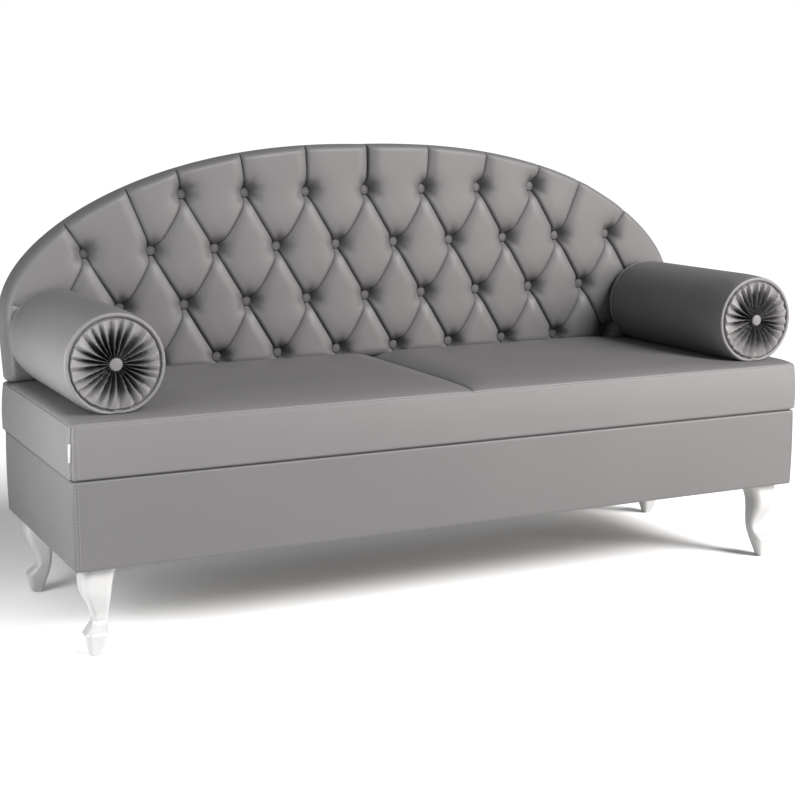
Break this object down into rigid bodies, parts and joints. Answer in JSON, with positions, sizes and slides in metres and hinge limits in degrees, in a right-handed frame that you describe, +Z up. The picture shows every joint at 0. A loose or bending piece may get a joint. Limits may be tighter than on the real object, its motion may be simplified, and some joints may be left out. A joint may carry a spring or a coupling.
{
  "type": "waiting room sofa",
  "caption": "Upholstered sofa on cabriole legs with a boxed seat, an arched deep-buttoned back and loose bolsters at the ends.",
  "frame": {"origin": "on the floor, under the middle of the whole sofa", "axes": "+X to the right seen from the front, +Y to the rear, +Z up"},
  "size_m": [1.7145, 0.586, 0.9639],
  "materials": {
    "upholstery": "smooth grey artificial leather, soft satin sheen",
    "white_lacquer": "white gloss lacquer on turned and carved wood",
    "timber": "sawn softwood",
    "plywood": "bare plywood",
    "foam": "open-cell upholstery foam",
    "webbing": "woven elastic webbing",
    "dust_cloth": "black non-woven cloth",
    "twine": "waxed tufting twine",
    "tag_cloth": "plain white sewn tape",
    "zinc_steel": "zinc plated",
    "bolt_black": "black oxide, flat round head",
    "glide_plastic": "nail-on plastic glide"
  },
  "bodies": {
    "sofa": {"back_board": "plywood", "back_bolts": "bolt_black", "back_button_twines": "twine", "back_buttoned_cover": "upholstery", "back_buttons_row_1": "upholstery", "back_buttons_row_2": "upholstery", "back_buttons_row_3": "upholstery", "back_buttons_row_4": "upholstery", "back_padding": "foam", "back_rear_cover": "upholstery", "back_t_nuts": "zinc_steel", "base_corner_blocks": "timber", "base_dust_cloth": "dust_cloth", "base_front_cover": "upholstery", "base_front_padding": "foam", "base_front_rail": "timber", "base_left_cover": "upholstery", "base_left_padding": "foam", "base_left_rail": "timber", "base_rear_cover": "upholstery", "base_rear_rail": "timber", "base_ribs": "timber", "base_right_cover": "upholstery", "base_right_padding": "foam", "base_right_rail": "timber", "base_seat_cleats": "timber", "front_left_leg": "white_lacquer", "front_right_leg": "white_lacquer", "leg_glides": "glide_plastic", "leg_nuts": "zinc_steel", "leg_studs": "zinc_steel", "rear_left_leg": "white_lacquer", "rear_right_leg": "white_lacquer", "seat_bolts": "zinc_steel", "seat_centre_rail": "timber", "seat_front_border": "upholstery", "seat_front_rail": "timber", "seat_left_border": "upholstery", "seat_left_foam": "foam", "seat_left_rail": "timber", "seat_left_top": "upholstery", "seat_rear_border": "upholstery", "seat_rear_rail": "timber", "seat_right_border": "upholstery", "seat_right_foam": "foam", "seat_right_rail": "timber", "seat_right_top": "upholstery", "seat_tag": "tag_cloth", "seat_webbing": "webbing"},
    "left_bolster": {"left_bolster_buttons": "upholstery", "left_bolster_core": "foam", "left_bolster_cover": "upholstery", "left_bolster_ends": "upholstery", "left_bolster_piping": "upholstery"},
    "right_bolster": {"right_bolster_buttons": "upholstery", "right_bolster_core": "foam", "right_bolster_cover": "upholstery", "right_bolster_ends": "upholstery", "right_bolster_piping": "upholstery"}
  },
  "joints": [
    {"name": "left_bolster_lift", "type": "slide", "parent": "sofa", "child": "left_bolster", "axis": [0, 0, 1], "range_m": [0, 0.5]},
    {"name": "right_bolster_lift", "type": "slide", "parent": "sofa", "child": "right_bolster", "axis": [0, 0, 1], "range_m": [0, 0.5]}
  ]
}
